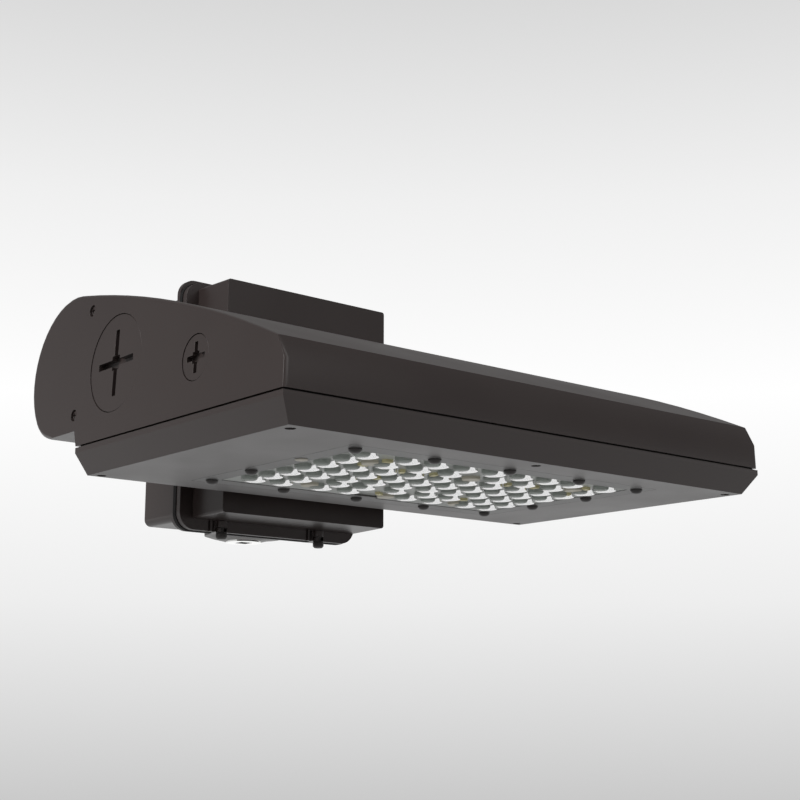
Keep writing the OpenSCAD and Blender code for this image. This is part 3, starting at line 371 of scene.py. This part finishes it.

# Lens panel: one clear acrylic moulding, a plate with a drum-shaped optic over
# each LED. It isn't drawn by refraction: the plate is mostly opaque, and each
# drum is a thin clear film over a grey core of painted shade for its middle.


def clear_acrylic(name, tint, share, smooth, bend):
    """Clear moulded acrylic in grey light: the share of light it stops, and a faint ripple from cooling.

    Its IOR is kept below acrylic's 1.49, because the photograph shows little gloss on it.
    """
    material, tree = empty_material(name)
    ripple_mm = 3.0
    place = add(tree, "ShaderNodeTexCoord", {}).outputs["Object"]
    ripple = add(tree, "ShaderNodeTexNoise", {"Vector": place, "Scale": 1000 / ripple_mm, "Detail": 1.0})
    bump = add(tree, "ShaderNodeBump", {"Height": ripple.outputs["Fac"], "Strength": 0.3, "Distance": 0.0001})
    shader = add(
        tree,
        "ShaderNodeBsdfPrincipled",
        {
            "Base Color": linear(tint),
            "Roughness": smooth,
            "IOR": bend,
            "Alpha": share,
            "Normal": bump.outputs["Normal"],
        },
    )
    add(tree, "ShaderNodeOutputMaterial", {"Surface": shader.outputs["BSDF"]})
    return material


def face_centres(node, wanted):
    """Centres of the flat faces of a CAD node that a test picks."""
    work = merged(node, 1)
    centres = [face.calc_center_median() for face in work.faces if wanted(face)]
    work.free()
    return centres


optics = face_centres("led_chips", lambda face: face.normal.z < -0.9)

# The plate is the hull of the CAD panel without its domes. Its underside has
# a flat border under the bezel, a wall down, and a slope back up to the optics.
plate_underside = -0.06905
work = bmesh.new()
for vertex in nodes["lens_panel"].data.vertices:
    if vertex.co.z > plate_underside:
        work.verts.new(vertex.co)
hull = bmesh.ops.convex_hull(work, input=work.verts)
inside = [g for g in hull["geom_interior"] if isinstance(g, bmesh.types.BMVert)]
bmesh.ops.delete(work, geom=inside, context="VERTS")
bmesh.ops.dissolve_limit(work, angle_limit=math.radians(1), verts=work.verts, edges=work.edges)
field = min(work.faces, key=lambda face: face.calc_center_median().z)
for inset_mm, drop_mm in ((13.15, 0.0), (0.02, 1.75), (6.0, -1.7)):
    bmesh.ops.inset_region(work, faces=[field], thickness=inset_mm / 1000, use_even_offset=True)
    bmesh.ops.translate(work, verts=field.verts, vec=(0, 0, -drop_mm / 1000))
clear_plate = clear_acrylic("clear_plate", "d4d7d3", share=0.8, smooth=0.3, bend=1.2)
plate = made("lens_plate", work, clear_plate, "lens_panel")
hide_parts("lens_panel")

drum_outline = [
    (8.1, -69.0), (8.0, -69.6), (7.8, -70.6), (7.4, -71.4),
    (6.6, -72.0), (5.2, -72.3), (2.6, -72.4), (0.0, -72.4),
]
drums = repeated(turned("drum", drum_outline, steps=40), optics)
clear_drum = clear_acrylic("clear_drum", "4a4f4a", share=0.07, smooth=0.12, bend=1.15)
made("lens_drums", drums, clear_drum, "lens_panel")
# The cores are painted shade: grey shapes that stand for the shaded board seen through each drum's middle.
core_outline = [(5.2, -69.0), (5.1, -70.4), (4.7, -71.4), (3.9, -71.9), (0.0, -72.05)]
core_shift = 0.0027
core_places = [(place.x - core_shift, place.y) for place in optics]
cores = repeated(turned("core", core_outline, steps=32), core_places)
painted_shade_core = clear_acrylic("painted_shade_core", "b8beb8", share=0.9, smooth=0.35, bend=1.2)
made("lens_shade_cores", cores, painted_shade_core, "lens_panel")

# Small parts among the optics: tan ones that stand through the plate, and
# round pale pads on it. Their places are read from the photograph, in mm, and
# the turn of each tan part in degrees.
tan_places = (
    (-69.3, -273.4, 0), (-73.0, -254.6, 20), (-39.0, -250.4, 60), (-34.6, -222.0, 90),
    (-16.4, -254.3, 80), (8.0, -170.8, 30), (47.2, -254.2, 70), (67.9, -258.0, 90),
    (106.6, -250.8, 60), (98.3, -275.2, 20), (69.7, -186.8, -30),
)
tan_size_mm = (6.0, 3.4, 4.8)
tan_height = -0.0684
work = bmesh.new()
for x, y, turn in tan_places:
    before = len(work.verts)
    bmesh.ops.create_cube(work, size=0.001)
    work.verts.ensure_lookup_table()
    block = work.verts[before:]
    bmesh.ops.scale(work, verts=block, vec=tan_size_mm)
    bmesh.ops.rotate(work, verts=block, cent=(0, 0, 0), matrix=Matrix.Rotation(math.radians(turn), 3, "Z"))
    bmesh.ops.translate(work, verts=block, vec=(x / 1000, y / 1000, tan_height))
made("tan_parts", work, tan_ceramic, "board_parts")
pad_outline = [(6.0, -69.0), (5.9, -70.6), (5.4, -71.1), (0.0, -71.2)]
pad_places = ((-73.6, -263.2), (-51.3, -173.0), (18.0, -165.4), (11.7, -257.6), (78.5, -169.9), (94.0, -267.5))
pads = repeated(turned("pad", pad_outline, steps=32), [(x / 1000, y / 1000) for x, y in pad_places])
pale_pad = grained("pale_pad", "c9c4b4", "d0cbbc", grain_mm=1.0, depth_mm=0.02, smooth=0.4, rough=0.5)
made("pale_pads", pads, pale_pad, "lens_panel")

# Painted highlight: the bright crescent on the +X side of each clear drum is
# drawn as a leaning mirror-silver wedge with a fluted inner edge. The wedge
# stands in for that highlight, and it stays in each optic in every view.


def highlight_wedge_section(turn, flute):
    """Corners of the crescent at a share of its length from -1, high and narrow, to 1, low and wide.

    They are in mm about the optic's axis, and flute draws the inner edge in.
    """
    radius, foot, low_top, full_rise, least_width = 7.7, -72.15, -71.7, 2.65, 1.1
    outer = math.radians(-4 + 72 * turn)
    rise = min(1.0, 0.85 + 0.5 * (turn + 1), (1 - turn) ** 1.8)
    far_x, far_y = radius * math.cos(outer), radius * math.sin(outer)
    near_x = far_x - least_width - (1.7 + flute) * (turn + 1)
    top = low_top + full_rise * rise
    return [(far_x, far_y, foot), (far_x, far_y, top), (near_x, far_y, top)]


def to_metres(corner):
    """A corner given in mm, as a vector in metres."""
    return Vector(corner) / 1000


work = bmesh.new()
section = highlight_wedge_section(-1, 0.0)
start = [work.verts.new(to_metres(corner)) for corner in section]
edges = list(work.faces.new(start).edges)
stations, flute_mm = 28, 0.9
for station in range(1, stations + 1):
    following = highlight_wedge_section(-1 + 2 * station / stations, flute_mm * (station % 2))
    grown = bmesh.ops.extrude_edge_only(work, edges=edges)["geom"]
    fresh = [g for g in grown if isinstance(g, bmesh.types.BMVert)]
    edges = [
        g for g in grown
        if isinstance(g, bmesh.types.BMEdge) and g.verts[0] in fresh and g.verts[1] in fresh
    ]
    for vertex in fresh:
        corner = min(range(3), key=lambda i: (vertex.co - to_metres(section[i])).length)
        vertex.co = to_metres(following[corner])
    section = following
bmesh.ops.holes_fill(work, edges=edges, sides=3)
# Each optic gets one wedge of painted highlight in mirror silver.
highlight_wedges = repeated(mesh_from(work, "highlight_wedge"), optics)
silver = bare_metal("silver_reflection", "ffffff", smooth=0.05, rough=0.1, mark_mm=3)
made("lens_highlight_wedges", highlight_wedges, silver, "lens_panel")

# Lens gasket, bezel and screws: a satin grey coated cast frame presses the
# panel onto a black rubber gasket. Its round-headed screws are black coated,
# and one is a pale flat-headed one, as in the photograph.
dress(rubber, "lens_gasket")
grey_coat = grained(
    "satin_grey_coat", "575655", "5d5c5b", grain_mm=1.4, depth_mm=0.03, smooth=0.38, rough=0.44
)
broken_edges("lens_bezel", 0.95, grey_coat)
lowest_shank_end = -0.064
screws = face_centres(
    "lens_screws",
    lambda face: face.normal.z > 0.9 and face.calc_center_median().z > lowest_shank_end,
)
pale_place = Vector((-0.1151, -0.2507, -0.0628))
pale = min(screws, key=lambda place: (place - pale_place).length)
blacks = [place for place in screws if place is not pale]
round_outline = [
    (0.0, -62.8), (1.4, -62.8), (1.4, -71.0), (3.9, -71.0), (3.95, -71.5),
    (3.7, -72.3), (3.1, -73.0), (2.2, -73.5), (1.2, -73.75), (0.0, -73.8),
]
round_heads = repeated(turned("round_head_screw", round_outline, steps=28), blacks)
heads = made("lens_screws_black", round_heads, black_screw, "lens_screws")
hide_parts("lens_screws")
flat_outline = [
    (0.0, -62.8), (1.4, -62.8), (1.4, -71.0), (3.9, -71.0), (3.9, -71.4), (3.4, -71.7), (0.0, -71.8),
]
flat_head = repeated(turned("flat_head_screw", flat_outline, steps=28), [pale])
pale_coat = grained("pale_head", "c6c1b4", "ccc8bc", grain_mm=1.0, depth_mm=0.02, smooth=0.4, rough=0.5)
made("lens_screw_pale", flat_head, pale_coat, "lens_screws")

# Gear: a galvanised tray hung in the housing, with the potted driver in its
# light grey painted case and a blue moulded surge unit.
dress(galvanised, "gear_tray")
dress(zinc_plate, "tray_screws", "driver_screws")
driver_case = grained(
    "light_grey_case", "d5d6d2", "dadbd8", grain_mm=1.6, depth_mm=0.03, smooth=0.4, rough=0.5
)
surge_case = grained("blue_case", "31507f", "365688", grain_mm=1.6, depth_mm=0.03, smooth=0.4, rough=0.5)
dress(driver_case, "led_driver")
dress(surge_case, "surge_protector")

# Studio: a pale floor far below the object, a pale world that is white near
# the horizon and greyer above and below, and two large soft lamps.
floor_height, floor_reach = -2.2, 12.0
work = bmesh.new()
bmesh.ops.create_grid(work, x_segments=1, y_segments=1, size=floor_reach)
bmesh.ops.translate(work, verts=work.verts, vec=(0.0, 0.0, floor_height))
floor_mesh = mesh_from(work, "floor")
floor = bpy.data.objects.new("floor", floor_mesh)
bpy.context.scene.collection.objects.link(floor)
floor_paint = grained(
    "pale_floor_paint", "e6e6e6", "e8e8e8", grain_mm=8.0, depth_mm=0.02, smooth=0.8, rough=0.9
)
floor_mesh.materials.append(floor_paint)


def seen_directly(tree):
    """1 where the camera sees a surface, in gloss or through the clear panel too, 0 for light on the object."""
    path = add(tree, "ShaderNodeLightPath", {})
    seen = path.outputs["Is Camera Ray"]
    for kind in ("Is Glossy Ray", "Is Transmission Ray"):
        either = add(tree, "ShaderNodeMath", {0: seen, 1: path.outputs[kind]}, operation="MAXIMUM")
        seen = either.outputs["Value"]
    first = add(tree, "ShaderNodeMath", {0: path.outputs["Diffuse Depth"], 1: 0.5}, operation="LESS_THAN")
    direct = add(tree, "ShaderNodeMath", {0: seen, 1: first.outputs["Value"]}, operation="MULTIPLY")
    return direct.outputs["Value"]


# The floor glows by three quarters where it is seen, so that it stays even and
# pale: white in the object's gloss, and a shade darker to the camera.
glow_share = 0.75
tree = floor_paint.node_tree
share = add(tree, "ShaderNodeMath", {0: seen_directly(tree), 1: glow_share}, operation="MULTIPLY")
straight = add(tree, "ShaderNodeLightPath", {}).outputs["Is Camera Ray"]
tone = add(
    tree,
    "ShaderNodeMix",
    {"Factor": straight, "A": linear("ffffff"), "B": linear("e2e2e2")},
    data_type="RGBA",
)
glow = add(tree, "ShaderNodeEmission", {"Color": tone.outputs["Result"], "Strength": 1.0})
painted = tree.nodes["Principled BSDF"]
both = add(
    tree,
    "ShaderNodeMixShader",
    {"Fac": share.outputs["Value"], 1: painted.outputs["BSDF"], 2: glow.outputs["Emission"]},
)
tree.links.new(both.outputs["Shader"], tree.nodes["Material Output"].inputs["Surface"])

# The camera and the gloss see a bright world. The world that lights the object
# is a weak even fill, so that the lamps shape it.
world = bpy.data.worlds.new("pale_studio")
bpy.context.scene.world = world
world.use_nodes = True
tree = world.node_tree
tree.nodes.clear()
facing = add(tree, "ShaderNodeTexCoord", {}).outputs["Generated"]
height = add(tree, "ShaderNodeSeparateXYZ", {"Vector": facing}).outputs["Z"]
sweep = add(
    tree,
    "ShaderNodeMapRange",
    {"Value": height, "From Min": -0.06, "From Max": 0.94, "To Min": 0.0, "To Max": 1.0},
)


def sky(*stops):
    """The world's greys from just below the horizon to almost straight up."""
    ramp = add(tree, "ShaderNodeValToRGB", {"Fac": sweep.outputs["Result"]})
    ends = ramp.color_ramp.elements
    for end, (position, colour) in zip(ends, (stops[0], stops[-1])):
        end.position, end.color = position, linear(colour)
    for position, colour in stops[1:-1]:
        ends.new(position).color = linear(colour)
    return ramp.outputs["Color"]


backdrop = sky(
    (0.0, "c8c8c8"), (0.135, "eeeeee"), (0.27, "ffffff"), (0.4, "f0f0f0"),
    (0.53, "d7d7d7"), (0.66, "969696"), (1.0, "707070"),
)
mirrored = sky((0.0, "ffffff"), (0.08, "ffffff"), (0.2, "b8b8b8"), (0.4, "8c8c8c"), (1.0, "808080"))
glossy = add(tree, "ShaderNodeLightPath", {}).outputs["Is Glossy Ray"]
tone = add(tree, "ShaderNodeMix", {"Factor": glossy, "A": backdrop, "B": mirrored}, data_type="RGBA")
shown = add(tree, "ShaderNodeBackground", {"Color": tone.outputs["Result"], "Strength": 1.0})
fill = add(tree, "ShaderNodeBackground", {"Color": linear("ffffff"), "Strength": 0.2})
mixed = add(
    tree,
    "ShaderNodeMixShader",
    {"Fac": seen_directly(tree), 1: fill.outputs["Background"], 2: shown.outputs["Background"]},
)
add(tree, "ShaderNodeOutputWorld", {"Surface": mixed.outputs["Shader"]})


def soft_lamp(name, place, size, watts):
    """A square soft box at a place, facing the head."""
    head_middle = Vector((0.0, -0.15, 0.0))
    data = bpy.data.lights.new(name, "AREA")
    data.shape = "SQUARE"
    data.size = size
    data.energy = watts
    lamp = bpy.data.objects.new(name, data)
    bpy.context.scene.collection.objects.link(lamp)
    lamp.location = place
    lamp.rotation_euler = (head_middle - Vector(place)).to_track_quat("-Z", "Y").to_euler()
    lamp.visible_camera = False


soft_lamp("left_softbox", (-2.6, -0.4, 1.6), size=1.6, watts=74)
soft_lamp("front_softbox", (0.5, -2.8, 1.8), size=1.8, watts=22)
